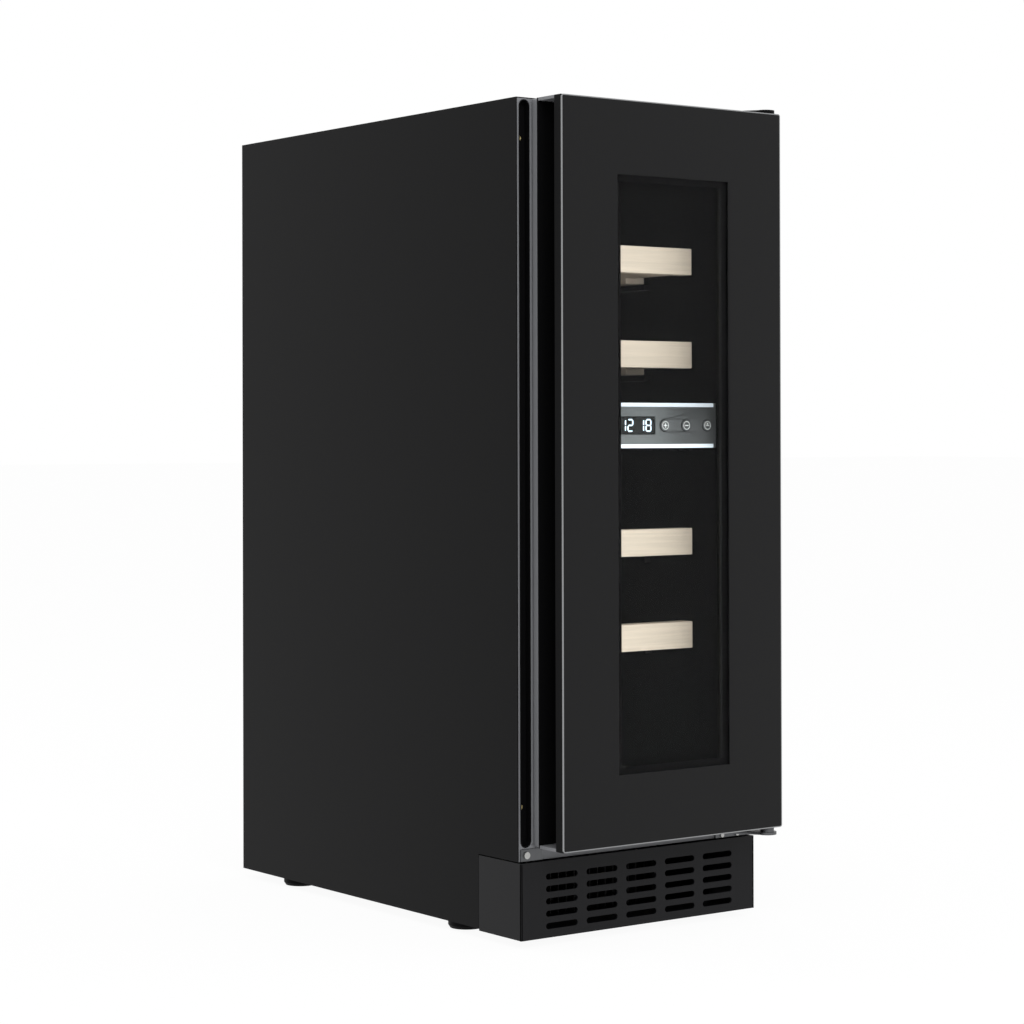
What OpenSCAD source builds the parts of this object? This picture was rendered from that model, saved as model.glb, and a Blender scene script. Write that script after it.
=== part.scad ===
// Built-under wine cooler with two temperature zones.
// Millimetres, +Z up, the door faces -Y, the origin is on the floor under the middle of the appliance.

/* [Cabinet] */
// Width over the side panels
cabinet_w = 295; // [290:1:320]
// Depth from the door's front to the back panel
total_d = 570; // [560:1:620]
// Height from the floor to the top panel
cabinet_h = 817; // [800:1:900]
// Air gap under the side panels
floor_gap = 10; // [8:1:14]
// Steel sheet of the outer panels
sheet = 1; // [0.8:0.1:1.5]
// Insulated wall between the side panel and the liner's inner face
wall = 41.5; // [38:0.5:45]
// Insulation above the cooled space
roof_wall = 42; // [36:1:50]
// Insulation behind the cooled space
rear_wall = 45; // [40:1:50]
// Moulded liner thickness
liner_t = 2; // [1.5:0.5:3]
// Floor level of the cooled space at the front
cavity_floor = 140; // [134:1:150]
// Floor level of the step over the compressor
step_floor = 222; // [210:1:228]
// Depth of the compressor step, measured from the back panel
step_depth = 185; // [180:1:200]

/* [Face frame] */
// Sheet thickness of the face frame
frame_t = 2; // [1.5:0.5:3]
// Width of the recessed fixing channel
channel_w = 13; // [11:0.5:14]
// Distance of the fixing channel from the side panel's outer face
channel_edge = 3; // [2.5:0.5:4]
// Depth of the fixing channel
channel_depth = 8; // [6:1:10]
// Distance between the two fixing holes of one channel
fixing_pitch = 644; // [600:1:660]
// Radius of a fixing hole
fixing_r = 2.2; // [2:0.1:3]

/* [Plinth] */
// Top of the plinth above the floor
plinth_top = 82; // [76:1:84]
// Air gap under the plinth
plinth_gap = 8; // [6:1:10]
// How far the plinth stands in front of the cabinet
plinth_proud = 5; // [3:1:8]
// Length of the plinth's side wings
plinth_wing = 70; // [50:1:80]
// Plinth moulding thickness
plinth_t = 2.5; // [2:0.5:3]
// Columns of air slots
slot_cols = 5; // [3:1:5]
// Rows of air slots
slot_rows = 5; // [3:1:5]
// Length of an air slot
slot_l = 38.5; // [30:0.5:40]
// Height of an air slot
slot_h = 6; // [5:0.5:7]
// Distance between slot columns
slot_pitch_x = 49.3; // [46:0.1:50]
// Distance between slot rows
slot_pitch_z = 11.9; // [11:0.1:12.5]

/* [Door] */
// Door thickness with the gap to the cabinet
door_d = 49.5; // [48:0.5:54]
// How far the door's free edge stands in from the cabinet's side
door_inset = 17.5; // [17:0.5:20]
// Bottom of the door above the floor
door_bottom = 96; // [95:1:100]
// Front plate thickness
plate_t = 2; // [1.5:0.5:3]
// Gap between the closed door and the cabinet
door_gap = 2; // [1.8:0.1:3]
// Depth of the finger groove along the free edge
grip_depth = 22; // [18:1:24]
// Front leaf of the finger groove
grip_leaf = 10.2; // [8:0.1:12]
// Rear frame thickness
rear_frame_t = 7.5; // [7:0.5:9]
// Window pane width
window_w = 139.4; // [120:0.1:150]
// Window pane height
window_h = 578; // [540:1:600]
// How far the window pane runs on behind the front plate
pane_lap = 12; // [8:1:14]
// Opening behind the front plate, left and right of the window's middle
opening_half = 106; // [100:1:108]
// Space between the two inner panes
pack_gap = 19; // [14:1:19]

/* [Hinges] */
// Pivot distance from the door's hinged edge
pivot_edge = 10; // [9:0.5:12]
// Pivot distance behind the door's front face
pivot_front = 12; // [11:0.5:14]
// Hinge pin radius
pin_r = 4; // [3:0.5:5]
// Running clearance between a pin and its bush
run_clear = 0.05; // [0.02:0.01:0.1]
// Hinge plate thickness
hinge_t = 2.8; // [2:0.1:2.8]

/* [Shelves] */
// Width of a shelf's front rail
shelf_w = 192; // [180:1:194]
// Height of a shelf's front rail
rail_h = 27; // [22:1:30]
// Depth of a shelf's front rail
rail_d = 16; // [12:1:20]
// Height of the lowest shelf rail above the floor
lower_shelf_z = 274.5; // [268:0.5:280]
// Height of the upper zone's lower shelf rail
upper_shelf_z = 560; // [556:0.5:566]
// Distance between two shelves of a zone
shelf_pitch = 95.3; // [88:0.1:97]
// Set-back of the shelves behind the cabinet's front
shelf_setback = 30.5; // [28:0.5:40]
// Length of a shelf
shelf_l = 392; // [340:1:400]
// Slats on a shelf
slat_count = 6; // [4:1:7]

/* [Control panel] */
// Height of the control panel
panel_h = 45; // [40:1:46]
// Bottom of the control panel above the floor
panel_z = 479; // [476:1:484]
// Button radius
button_r = 6.3; // [5:0.1:7]
// Distance between buttons
button_pitch = 27.5; // [20:0.5:30]
// Distance of the first button from the middle of the panel
button_first = 36.8; // [34:0.1:40]

/* [Cooling] */
// Evaporator fan blade radius
fan_r = 36; // [30:1:40]
// Condenser fan blade radius
cond_fan_r = 38; // [32:1:40]
// Fan shaft radius
shaft_r = 2; // [1.5:0.5:3]
// Compressor shell radius
comp_r = 62; // [52:1:64]
// Compressor shell height
comp_h = 142; // [126:1:146]

/* [Feet] */
// Radius of a foot's pad
foot_r = 19; // [15:1:22]
// Radius of a foot's threaded shank
shank_r = 5; // [4:0.5:6]
// Adjustment of the feet
foot_travel = 50; // [30:1:55]

/* [Hidden] */
$fn = 48;

// Small distances used throughout
eps = 0.3;
cut = 1;
// Cabinet planes; the screw heads at the back stand on the rear panels
rear_rise = 0.9;
side_x = cabinet_w / 2;
inner_x = side_x - sheet;
back_y = total_d / 2 - rear_rise;
front_y = -total_d / 2 + door_d;
door_y = -total_d / 2;
cavity_x = side_x - wall;
cavity_top = cabinet_h - roof_wall;
cavity_back = back_y + rear_rise - rear_wall;
step_y = back_y + rear_rise - step_depth;
liner_front = front_y + frame_t;
step_skin = 30;
comp_roof = step_floor - step_skin;
bay_roof = cavity_floor - step_skin;
plinth_back = front_y + plinth_wing - plinth_proud;
// Base tray
tray_z = floor_gap;
tray_t = 1.5;
tray_top = tray_z + tray_t;
tray_x = inner_x - 0.1;
// Door planes
door_x0 = -side_x + door_inset;
door_x1 = side_x - 0.3;
door_cx = (door_x0 + door_x1) / 2;
door_top = cabinet_h - 1;
door_h = door_top - door_bottom;
window_cx = door_cx - 1.4;
window_z = door_bottom + 69;
core_x0 = window_cx - opening_half;
core_x1 = window_cx + opening_half;
core_z0 = cavity_floor - 3;
core_z1 = cavity_top - 2;
rear_y = front_y - door_gap;
rear_front = rear_y - rear_frame_t;
core_y = door_y + plate_t;
core_back = rear_front - eps;
groove_y0 = core_y + grip_leaf;
groove_lip = 1.5;
groove_y1 = core_back - groove_lip;
cap_t = 3;
pane_seam = 0.2;
gasket_w = 10;
gasket_in = 9;
gasket_bed = 5;
// Hinge axis
pivot_x = door_x1 - pivot_edge;
pivot_y = door_y + pivot_front;
bush_r = 7;
bush_l = 14;
hinge_top_z = cabinet_h + 0.2;
hinge_plate_x = pivot_x - 38;
hinge_arm_r = 9.5;
hinge_screw_x = [hinge_plate_x + 8, hinge_plate_x + 28];
hinge_low_z = door_bottom - 5 - hinge_t;
// Shelves
shelf_y0 = front_y + shelf_setback;
shelf_y1 = shelf_y0 + shelf_l;
shelf_z = [upper_shelf_z + shelf_pitch, upper_shelf_z, lower_shelf_z + shelf_pitch, lower_shelf_z];
runner_w = 8;
runner_h = 6;
runner_y0 = shelf_y0 + 80;
bearer_w = 12;
bearer_h = 14;
bearer_drop = 5;
slat_t = 8;
slat_d = 34;
slot_run = 2 * eps;
// Control panel
panel_x = cavity_x - 2;
panel_y = front_y + 2.5;
panel_t = 3;
housing_d = 22;
panel_top = panel_z + panel_h;
panel_cz = panel_z + panel_h / 2;
button_x = [for (i = [-2:1:-1]) (i + 1) * button_pitch - button_first,
            for (i = [0:1:2]) button_first + i * button_pitch];
button_proud = 1.5;
button_len = 9;
led_h = 4;
display_w = 50;
display_h = 18;
divider_z0 = panel_z + 6;
divider_z1 = panel_top - 6;
// Evaporator units
cover_y = cavity_back - 33;
cover_t = 2;
cover_x = cavity_x - 8;
zone_lo = [divider_z1 + 5, step_floor + 6];
zone_hi = [cavity_top - 5, divider_z0 - 5];
fan_z = [zone_lo[0] + 62, zone_lo[1] + 62];
blade_d = 9;
// Base compartment
comp_cx = -20;
comp_cy = back_y - 86;
comp_z = tray_top + 16;
cond_x0 = -110;
cond_x1 = 60;
cond_y0 = plinth_back + 14;
cond_y1 = cond_y0 + 70;
cond_z0 = tray_top;
cond_z1 = bay_roof - 10;
cond_fan_x = -25;
cond_fan_y = cond_y1 + 20;
cond_fan_z = tray_top + 2 + cond_fan_r + 3;
cond_fan_d = 25;
inlet_x = 112;
inlet_z = 46;
// Feet
foot_x = side_x - 28;
foot_y = [plinth_back + 60, back_y - 78];
foot_pad_h = floor_gap - 1;
boss_h = 30;
// Screws
screw_r = 3.4;
screw_head = 1.6;

// A block between two corners
module block(a, b) {
  translate(a) cube(b - a);
}

// A block that is mirrored to both sides
module both_sides() {
  children();
  mirror([1, 0, 0]) children();
}

// A vertical slot outline with round ends, centred on x, from z0 to z1
module slot_2d(w, l) {
  hull_r = w / 2;
  translate([0, hull_r]) circle(hull_r);
  translate([0, l - hull_r]) circle(hull_r);
  translate([-hull_r, hull_r]) square([w, l - w]);
}

// An XZ outline pushed along +Y from y0, thickness t
module upright(y0, t) {
  translate([0, y0 + t, 0]) rotate([90, 0, 0]) linear_extrude(t) children();
}

// A YZ outline pushed along +X from x0, width w
module lengthwise(x0, w) {
  translate([x0, 0, 0]) rotate([90, 0, 90]) linear_extrude(w) children();
}

// A round bar along +Y
module y_bar(p, r, l) {
  translate(p) rotate([-90, 0, 0]) cylinder(r = r, h = l);
}

// A pipe through a list of points, with ball elbows
module pipe(points, r) {
  for (i = [0:len(points) - 2]) {
    d = points[i + 1] - points[i];
    translate(points[i])
      rotate([0, acos(d[2] / norm(d)), atan2(d[1], d[0])])
        cylinder(r = r, h = norm(d));
    if (i > 0) translate(points[i]) sphere(r * 1.25);
  }
}

// ---- Outer cabinet ----

module side_outline() {
  difference() {
    translate([front_y, floor_gap]) square([back_y - front_y, cabinet_h - floor_gap]);
    translate([front_y - cut, floor_gap - cut])
      square([plinth_back - front_y + cut, plinth_top - floor_gap + 2 * cut]);
  }
}

module side_panel() {
  lengthwise(inner_x, sheet) side_outline();
}

module side_panel_left() {
  color("dimgray") mirror([1, 0, 0]) side_panel();
}

module side_panel_right() {
  color("dimgray") side_panel();
}

module top_panel() {
  color("dimgray")
    block([-inner_x, front_y, cabinet_h - sheet], [inner_x, back_y, cabinet_h]);
}

module back_panel() {
  color("silver")
    block([-inner_x, back_y - sheet, comp_roof], [inner_x, back_y, cabinet_h - sheet]);
}

module base_tray() {
  color("silver") {
    difference() {
      union() {
        block([-tray_x, plinth_back + 1, tray_z], [tray_x, back_y - sheet - 1, tray_top]);
        both_sides()
          block([tray_x - 1.5, plinth_back + 1, tray_top - cut],
                [tray_x, back_y - sheet - 1, tray_top + 30]);
        both_sides() for (y = foot_y)
          translate([foot_x, y, tray_z]) cylinder(r = shank_r + 4, h = boss_h);
      }
      both_sides() for (y = foot_y)
        translate([foot_x, y, tray_z - cut]) cylinder(r = shank_r + run_clear, h = boss_h + 2 * cut);
      for (i = [0:8])
        translate([-80 + i * 20, cond_fan_y + 60, tray_z - cut])
          linear_extrude(tray_t + 2 * cut) slot_2d(6, 50);
    }
  }
}

// Side view of the cooled space, grown by a wall thickness
module cavity_outline(grow, front) {
  polygon([
    [front, cavity_floor - grow], [step_y - liner_t + grow, cavity_floor - grow],
    [step_y - liner_t + grow, step_floor - grow], [cavity_back + grow, step_floor - grow],
    [cavity_back + grow, cavity_top + grow], [front, cavity_top + grow]]);
}

module channel_space(grow) {
  both_sides()
    translate([side_x - channel_edge - channel_w / 2, 0, 0])
      upright(front_y - cut, channel_depth + cut + grow)
        translate([0, door_bottom - grow]) slot_2d(channel_w + 2 * grow, door_h - 1 + 2 * grow);
}

module insulation_foam() {
  color("khaki") difference() {
    lengthwise(-inner_x, 2 * inner_x)
      polygon([
        [liner_front, bay_roof], [step_y - step_skin, bay_roof],
        [step_y - step_skin, comp_roof], [back_y - sheet, comp_roof],
        [back_y - sheet, cabinet_h - sheet], [liner_front, cabinet_h - sheet]]);
    lengthwise(-cavity_x - liner_t, 2 * (cavity_x + liner_t))
      cavity_outline(liner_t, liner_front - cut);
    channel_space(1);
  }
}

module liner_sides() {
  color([0.05, 0.05, 0.05])
    both_sides()
      lengthwise(cavity_x, liner_t) cavity_outline(liner_t, liner_front);
}

module liner_top() {
  color([0.05, 0.05, 0.05])
    block([-cavity_x, liner_front, cavity_top], [cavity_x, cavity_back, cavity_top + liner_t]);
}

module liner_back() {
  color([0.05, 0.05, 0.05])
    block([-cavity_x, cavity_back, step_floor],
          [cavity_x, cavity_back + liner_t, cavity_top + liner_t]);
}

module liner_floor() {
  color([0.05, 0.05, 0.05])
    lengthwise(-cavity_x, 2 * cavity_x)
      polygon([
        [liner_front, cavity_floor - liner_t], [step_y, cavity_floor - liner_t],
        [step_y, step_floor - liner_t], [cavity_back + liner_t, step_floor - liner_t],
        [cavity_back + liner_t, step_floor], [step_y - liner_t, step_floor],
        [step_y - liner_t, cavity_floor], [liner_front, cavity_floor]]);
}

module face_frame() {
  color("darkgray") difference() {
    block([-inner_x, front_y, plinth_top + 1], [inner_x, liner_front, cabinet_h - sheet]);
    block([-cavity_x - liner_t, front_y - cut, cavity_floor - liner_t],
          [cavity_x + liner_t, liner_front + cut, cavity_top + liner_t]);
    channel_space(0);
  }
}

module channel_trims() {
  fix_z = (door_bottom + cabinet_h) / 2;
  color([0.06, 0.06, 0.06]) both_sides()
    difference() {
      translate([side_x - channel_edge - channel_w / 2, 0, 0])
        upright(front_y, channel_depth)
          translate([0, door_bottom]) slot_2d(channel_w - 0.1, door_h - 1);
      translate([side_x - channel_edge - channel_w / 2, 0, 0])
        upright(front_y - cut, channel_depth - 1.2 + cut)
          translate([0, door_bottom + 1.2]) slot_2d(channel_w - 2.4, door_h - 3.4);
      for (s = [-1, 1])
        y_bar([side_x - channel_edge - channel_w / 2, front_y, fix_z + s * fixing_pitch / 2],
              fixing_r, channel_depth + cut);
    }
}

module corner_plate() {
  plate_x0 = -side_x + 2.5;
  plate_w = 25;
  plate_z0 = plinth_top + 1.2;
  plate_z1 = door_bottom - 1;
  color("silver")
    block([plate_x0, front_y - 1.5, plate_z0], [plate_x0 + plate_w, front_y, plate_z1]);
}

// ---- Inside the cooled space ----

module zone_divider() {
  color([0.06, 0.06, 0.06])
    block([-cavity_x, panel_y + housing_d, divider_z0], [cavity_x, cavity_back, divider_z1]);
}

module control_housing() {
  color("darkgray") difference() {
    block([-panel_x, panel_y, panel_z], [panel_x, panel_y + housing_d, panel_top]);
    block([-panel_x + 3, panel_y + panel_t, panel_z + led_h + 2],
          [panel_x - 3, panel_y + housing_d - 2, panel_top - led_h - 2]);
    for (x = button_x)
      y_bar([x, panel_y - cut, panel_cz], button_r + run_clear, panel_t + 2 * cut);
    block([-display_w / 2, panel_y - cut, panel_cz - display_h / 2],
          [display_w / 2, panel_y + panel_t + cut, panel_cz + display_h / 2]);
    for (z = [panel_z - cut, panel_top - led_h])
      block([-panel_x + 3, panel_y - cut, z], [panel_x - 3, panel_y + 6, z + led_h + cut]);
  }
}

module display_lens() {
  color([0.1, 0.1, 0.12])
    block([-display_w / 2 + 0.2, panel_y + 0.2, panel_cz - display_h / 2 + 0.2],
          [display_w / 2 - 0.2, panel_y + panel_t - 0.2, panel_cz + display_h / 2 - 0.2]);
}

module control_board() {
  board_y = panel_y + panel_t + 8;
  color("darkgreen") {
    block([-panel_x + 3.2, board_y, panel_z + led_h + 2.2],
          [panel_x - 3.2, board_y + 1.6, panel_top - led_h - 2.2]);
    for (x = button_x)
      block([x - 3, board_y - 1.4, panel_cz - 3], [x + 3, board_y, panel_cz + 3]);
  }
}

module led_bars() {
  color("white") for (z = [panel_z, panel_top - led_h + 0.2])
    block([-panel_x + 3.2, panel_y + 0.4, z], [panel_x - 3.2, panel_y + 5.8, z + led_h - 0.2]);
}

module button(i) {
  color("silver") {
    y_bar([button_x[i], panel_y - button_proud, panel_cz], button_r, button_len);
    y_bar([button_x[i], panel_y + panel_t + eps, panel_cz], button_r + 1, 2);
  }
}

module power_button() { button(0); }
module lamp_button() { button(1); }
module warmer_button() { button(2); }
module cooler_button() { button(3); }
module zone_button() { button(4); }

module evaporator_cover(i) {
  difference() {
    block([-cover_x, cover_y, zone_lo[i]], [cover_x, cavity_back, zone_hi[i]]);
    block([-cover_x + cover_t, cover_y + cover_t, zone_lo[i] + cover_t],
          [cover_x - cover_t, cavity_back + cut, zone_hi[i] - cover_t]);
    y_bar([0, cover_y - cut, fan_z[i]], fan_r + 3, cover_t + 2 * cut);
    for (k = [0:5])
      block([-cover_x + 24, cover_y - cut, zone_hi[i] - 16 - k * 9],
            [cover_x - 24, cover_y + cover_t + cut, zone_hi[i] - 12 - k * 9]);
  }
  for (r = [fan_r - 22, fan_r - 10])
    difference() {
      y_bar([0, cover_y, fan_z[i]], r + 1.2, cover_t);
      y_bar([0, cover_y - cut, fan_z[i]], r - 1.2, cover_t + 2 * cut);
    }
  for (a = [45, 135])
    translate([0, cover_y, fan_z[i]]) rotate([0, a, 0])
      block([-fan_r - 4, 0.2, -1.5], [fan_r + 4, cover_t - 0.2, 1.5]);
}

module evaporator_covers() {
  color([0.08, 0.08, 0.08]) for (i = [0, 1]) evaporator_cover(i);
}

module evaporators() {
  color("silver") for (i = [0, 1]) {
    z0 = fan_z[i] + fan_r + 12;
    z1 = zone_hi[i] - cover_t - 6;
    half = cover_x - 14;
    for (x = [-half : 14 : half])
      block([x, cavity_back - 24, z0], [x + 0.8, cavity_back - eps, z1]);
    for (z = [z0 + 12 : 22 : z1 - 8])
      translate([-half - 5, cavity_back - 12.7, z]) rotate([0, 90, 0])
        cylinder(r = 4, h = 2 * half + 10);
  }
}

// Motor block with a shaft towards -Y
module fan_motor(p, r, l, shaft_l) {
  y_bar(p, r, l);
  y_bar([p[0], p[1] - shaft_l, p[2]], shaft_r, shaft_l + cut);
}

// Blades with a bored hub; p is the front middle of the hub
module fan_blades(p, r, hub_r, depth, blades) {
  difference() {
    union() {
      y_bar(p, hub_r, depth);
      for (a = [0 : 360 / blades : 359])
        translate([p[0], p[1] + depth / 2, p[2]]) rotate([0, a, 0])
          rotate([0, 0, 24])
            block([-hub_r * 0.55, -0.8, hub_r * 0.6], [hub_r * 0.55, 0.8, r]);
    }
    y_bar([p[0], p[1] + 2, p[2]], shaft_r + run_clear, depth);
  }
}

blade_y = cover_y + cover_t + 2;

module fan_motors() {
  color("black") {
    for (i = [0, 1])
      fan_motor([0, blade_y + blade_d + 1.5, fan_z[i]], 14, cavity_back - blade_y - blade_d - 1.5,
                blade_d - 2);
    fan_motor([cond_fan_x, cond_fan_y + blade_d + 2, cond_fan_z], 15,
              cond_fan_d - blade_d - 7.5, blade_d - 2);
  }
}

module upper_fan_blades() {
  color("dimgray") fan_blades([0, blade_y, fan_z[0]], fan_r, 14, blade_d, 7);
}

module lower_fan_blades() {
  color("dimgray") fan_blades([0, blade_y, fan_z[1]], fan_r, 14, blade_d, 7);
}

module condenser_fan_blades() {
  color("black")
    fan_blades([cond_fan_x, cond_fan_y, cond_fan_z], cond_fan_r, 15, blade_d, 7);
}

module air_sensors() {
  color("white") for (i = [0, 1])
    block([-cavity_x, 40, zone_hi[i] - 28], [-cavity_x + 6, 70, zone_hi[i] - 16]);
}

module shelf_runners() {
  color([0.08, 0.08, 0.08]) for (z = shelf_z) both_sides()
    block([cavity_x - runner_w, runner_y0, z - bearer_drop - slot_run - runner_h],
          [cavity_x, cover_y - 2, z - bearer_drop - slot_run]);
}

// ---- Shelves ----

module shelf(z) {
  bearer_z = z - bearer_drop;
  slat_z = bearer_z + bearer_h;
  first = shelf_y0 + rail_d + 8;
  pitch = (shelf_y1 - slat_d - first) / (slat_count - 1);
  color("burlywood") {
    block([-shelf_w / 2, shelf_y0, z], [shelf_w / 2, shelf_y0 + rail_d, z + rail_h]);
    both_sides()
      block([shelf_w / 2 - bearer_w - 4, shelf_y0 + rail_d - 2, bearer_z + 6],
            [shelf_w / 2 - 4, shelf_y1, slat_z]);
    both_sides()
      block([shelf_w / 2 - bearer_w - 4, runner_y0 + 8, bearer_z],
            [cavity_x - 1.5, shelf_y1, bearer_z + 7]);
    for (k = [0 : slat_count - 1])
      block([-shelf_w / 2 + 5, first + k * pitch, slat_z - 1],
            [shelf_w / 2 - 5, first + k * pitch + slat_d, slat_z + slat_t]);
  }
}

module shelf_1() { shelf(shelf_z[0]); }
module shelf_2() { shelf(shelf_z[1]); }
module shelf_3() { shelf(shelf_z[2]); }
module shelf_4() { shelf(shelf_z[3]); }

// ---- Base compartment ----

module compressor() {
  color([0.1, 0.1, 0.1]) {
    difference() {
      translate([comp_cx, comp_cy, comp_z]) rotate_extrude()
        polygon(concat([[0, 0]], [for (a = [-90:10:0]) [comp_r - 16 + 16 * cos(a), 16 + 16 * sin(a)]],
          [for (a = [0:9:90]) [(comp_r - 30) + 30 * cos(a), comp_h - 30 + 30 * sin(a)]],
          [[0, comp_h]]));
      translate([comp_cx, comp_cy, comp_z]) rotate_extrude()
        polygon([[0, 8], [comp_r - 20, 8], [comp_r - 8, 20], [comp_r - 8, comp_h - 32],
          [comp_r - 32, comp_h - 8], [0, comp_h - 8]]);
    }
    difference() {
      translate([comp_cx - 78, comp_cy - 42, comp_z - 4]) cube([156, 84, 4]);
      for (x = [-1, 1]) for (y = [-1, 1])
        translate([comp_cx + x * 68, comp_cy + y * 32, comp_z - 4 - cut])
          cylinder(r = 6, h = 4 + 2 * cut);
    }
    translate([comp_cx + 40, comp_cy - 68, comp_z + 50]) cube([30, 24, 44]);
  }
}

module compressor_grommets() {
  color([0.03, 0.03, 0.03]) for (x = [-1, 1]) for (y = [-1, 1])
    translate([comp_cx + x * 68, comp_cy + y * 32, tray_top]) {
      cylinder(r = 9, h = comp_z - 4 - tray_top);
      cylinder(r = 5.8, h = comp_z + 2 - tray_top);
    }
}

module condenser() {
  color([0.15, 0.15, 0.15]) {
    for (j = [0:2]) for (z = [cond_z0 + 12 : 16 : cond_z1 - 8])
      translate([cond_x0, cond_y0 + 12 + j * 23, z]) rotate([0, 90, 0])
        cylinder(r = 3, h = cond_x1 - cond_x0);
    for (x = [cond_x0 : 10 : cond_x1])
      block([x, cond_y0, cond_z0], [x + 0.8, cond_y1, cond_z1]);
  }
}

module condenser_fan_frame() {
  z0 = tray_top;
  z1 = cond_fan_z + cond_fan_r + 5;
  half = cond_fan_r + 5;
  color([0.08, 0.08, 0.08]) {
    difference() {
      block([cond_fan_x - half, cond_fan_y - 3, z0], [cond_fan_x + half, cond_fan_y + cond_fan_d - 3, z1]);
      y_bar([cond_fan_x, cond_fan_y - 3 - cut, cond_fan_z], cond_fan_r + 2, cond_fan_d + 2 * cut);
    }
    for (a = [0, 60, 120])
      translate([cond_fan_x, cond_fan_y + cond_fan_d - 5.5, cond_fan_z]) rotate([0, a, 0])
        block([-half + 2, 0, -2], [half - 2, 2, 2]);
  }
}

module refrigerant_pipes() {
  drier_x = cond_x1 + 30;
  color("peru") {
    pipe([[cond_x1 + 0.8, cond_y0 + 12, cond_z0 + 44], [drier_x, cond_y0 + 12, cond_z0 + 44],
          [drier_x, cond_y0 + 60, cond_z0 + 44]], 3);
    y_bar([drier_x, cond_y0 + 60, cond_z0 + 44], 9, 90);
    pipe([[drier_x, cond_y0 + 150, cond_z0 + 44], [drier_x, step_y + 40, cond_z0 + 44],
          [drier_x, step_y + 40, comp_roof]], 2.5);
    pipe([[comp_cx + comp_r - 1.5, comp_cy + 20, comp_z + 60], [comp_cx + comp_r + 24, comp_cy + 20, comp_z + 60],
          [comp_cx + comp_r + 24, comp_cy + 20, comp_roof]], 4);
    pipe([[comp_cx - comp_r - 0.2, comp_cy - 10, comp_z + 40], [comp_cx - comp_r - 24, comp_cy - 10, comp_z + 40],
          [comp_cx - comp_r - 24, step_y - 60, comp_z + 40], [cond_x0 - 12, cond_y1 - 12, comp_z + 40],
          [cond_x0 - 12, cond_y1 - 12, cond_z0 + 60], [cond_x0, cond_y1 - 12, cond_z0 + 60]], 3);
  }
}

module drain_pan() {
  pan_z = comp_z + comp_h + eps;
  color([0.2, 0.2, 0.2]) difference() {
    block([comp_cx - 60, comp_cy - 50, pan_z], [comp_cx + 60, comp_cy + 60, pan_z + 16]);
    block([comp_cx - 58, comp_cy - 48, pan_z + 2], [comp_cx + 58, comp_cy + 58, pan_z + 16 + cut]);
  }
}

module power_board_box() {
  color([0.15, 0.15, 0.15])
    block([cond_x1 + 40, 30, tray_top], [foot_x + 15, 110, tray_top + 58]);
}

module mains_inlet() {
  face_y = back_y - 1;
  color([0.05, 0.05, 0.05]) {
    difference() {
      block([inlet_x - 16, face_y - 18, inlet_z - 12], [inlet_x + 16, face_y, inlet_z + 12]);
      block([inlet_x - 13, face_y - 14, inlet_z - 9], [inlet_x + 13, face_y + cut, inlet_z + 9]);
    }
    for (x = [-7, 0, 7])
      block([inlet_x + x - 1, face_y - 15, inlet_z - 3 + (x == 0 ? 3 : 0)],
            [inlet_x + x + 1, face_y - 6, inlet_z + 3 + (x == 0 ? 3 : 0)]);
  }
}

module rear_cover() {
  color("silver") difference() {
    block([-inner_x, back_y - sheet, floor_gap + 2], [inner_x, back_y, comp_roof - eps]);
    block([inlet_x - 16.3, back_y - sheet - cut, inlet_z - 12.3],
          [inlet_x + 16.3, back_y + cut, inlet_z + 12.3]);
    for (i = [0:8]) for (j = [0:1])
      translate([-96 + i * 21, 0, 0])
        upright(back_y - sheet - cut, sheet + 2 * cut)
          translate([0, 34 + j * 76]) slot_2d(7, 60);
  }
}

module plinth_grille() {
  y0 = front_y - plinth_proud;
  mid_z = (plinth_top + plinth_gap) / 2 - 2;
  color([0.12, 0.12, 0.12]) difference() {
    union() {
      block([-side_x, y0, plinth_gap], [side_x, y0 + plinth_t, plinth_top]);
      both_sides()
        block([side_x - plinth_t, y0, plinth_gap], [side_x, plinth_back, plinth_top]);
    }
    for (i = [0 : slot_cols - 1]) for (j = [0 : slot_rows - 1])
      translate([(i - (slot_cols - 1) / 2) * slot_pitch_x - slot_l / 2, 0,
                 mid_z + (j - (slot_rows - 1) / 2) * slot_pitch_z])
        upright(y0 - cut, plinth_t + 2 * cut)
          rotate(-90) slot_2d(slot_h, slot_l);
  }
}

// ---- Hinges ----

// Plate outline seen from above: a straight edge on the cabinet and a round arm end at the pivot
module hinge_outline(y_edge) {
  circle_x = pivot_x;
  translate([circle_x, pivot_y]) circle(hinge_arm_r);
  polygon([[hinge_plate_x, y_edge], [hinge_plate_x, front_y - 1],
           [circle_x - hinge_arm_r, pivot_y], [circle_x + hinge_arm_r, pivot_y],
           [circle_x + hinge_arm_r, y_edge]]);
}

module hinge_top() {
  color("silver") {
    difference() {
      translate([0, 0, hinge_top_z]) linear_extrude(hinge_t) hinge_outline(front_y + 34);
      for (x = hinge_screw_x)
        translate([x, front_y + 20, hinge_top_z + hinge_t - 1.2]) cylinder(r = screw_r, h = 2);
    }
    translate([pivot_x, pivot_y, door_top - 12]) cylinder(r = pin_r, h = hinge_top_z - door_top + 13);
  }
}

module hinge_bottom() {
  color("silver") {
    translate([0, 0, hinge_low_z]) linear_extrude(hinge_t) hinge_outline(front_y - 1);
    block([hinge_plate_x, front_y - 2, plinth_top + 1.2],
          [pivot_x + hinge_arm_r, front_y, door_bottom - 1]);
    translate([pivot_x, pivot_y, hinge_low_z + cut])
      cylinder(r = pin_r, h = door_bottom + 12 - hinge_low_z - cut);
    translate([pivot_x, pivot_y, hinge_low_z + cut])
      cylinder(r = bush_r, h = door_bottom - eps - hinge_low_z - cut);
  }
}

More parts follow.
